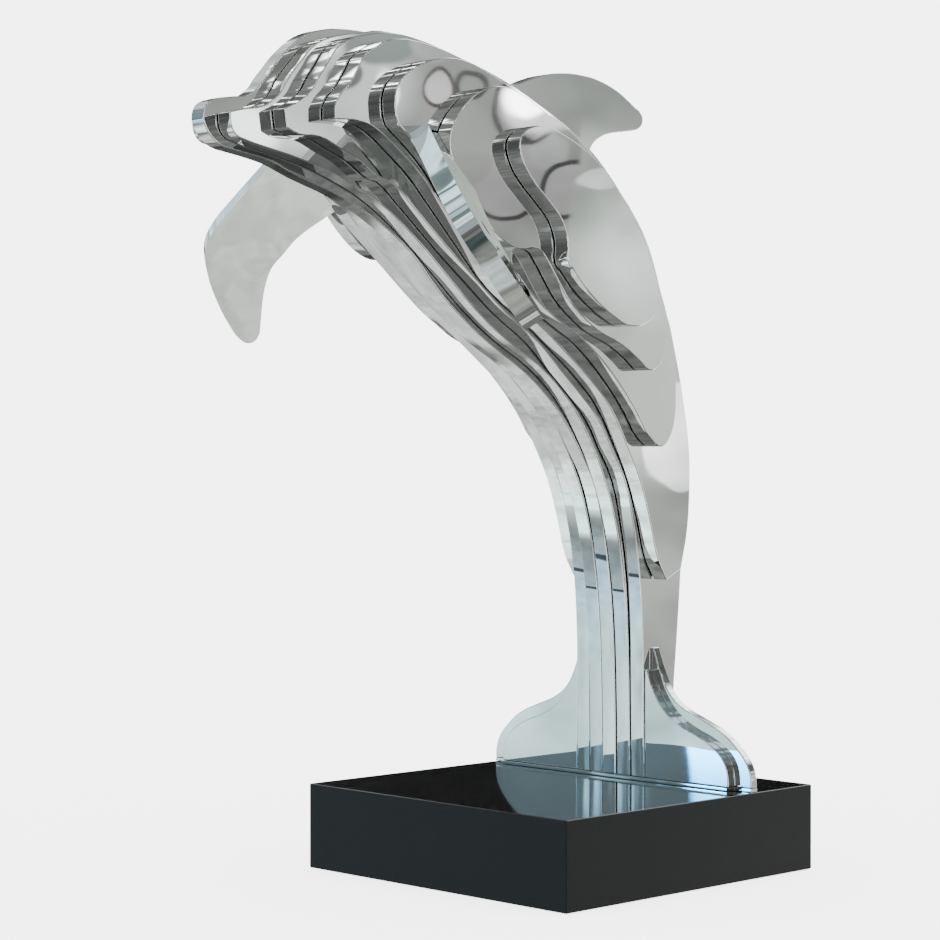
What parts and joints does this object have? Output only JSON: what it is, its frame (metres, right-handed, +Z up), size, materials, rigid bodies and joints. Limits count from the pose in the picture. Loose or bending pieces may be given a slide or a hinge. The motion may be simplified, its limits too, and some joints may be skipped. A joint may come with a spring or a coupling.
{
  "type": "metal dolphin garden sculpture",
  "caption": "Leaping dolphin built up from upright mirror-polished steel slices, standing on its tail flukes on a square black plinth.",
  "frame": {"origin": "centre of the plinth's underside", "axes": "+Z up along the figure's height; the beak points along -Y; the slices are stacked along X, and X = 0 is the plane of symmetry"},
  "size_m": [0.469, 0.715, 0.9048],
  "materials": {
    "polished_steel": "mirror-polished stainless steel, rounded rims, slightly wavy in its reflections",
    "black_plinth": "black granite, polished on top and satin on its sides"
  },
  "bodies": {
    "root": {"plinth": "black_plinth", "foot_strip": "polished_steel", "slice_centre": "polished_steel", "slice_right_1": "polished_steel", "slice_right_2": "polished_steel", "slice_right_3": "polished_steel", "slice_right_4": "polished_steel", "slice_right_5": "polished_steel", "slice_right_6": "polished_steel", "slice_left_1": "polished_steel", "slice_left_2": "polished_steel", "slice_left_3": "polished_steel", "slice_left_4": "polished_steel", "slice_left_5": "polished_steel", "slice_left_6": "polished_steel", "fin_right": "polished_steel", "fin_left": "polished_steel", "fluke_front_right": "polished_steel", "fluke_front_left": "polished_steel", "fluke_back_right": "polished_steel", "fluke_back_left": "polished_steel"}
  },
  "joints": []
}
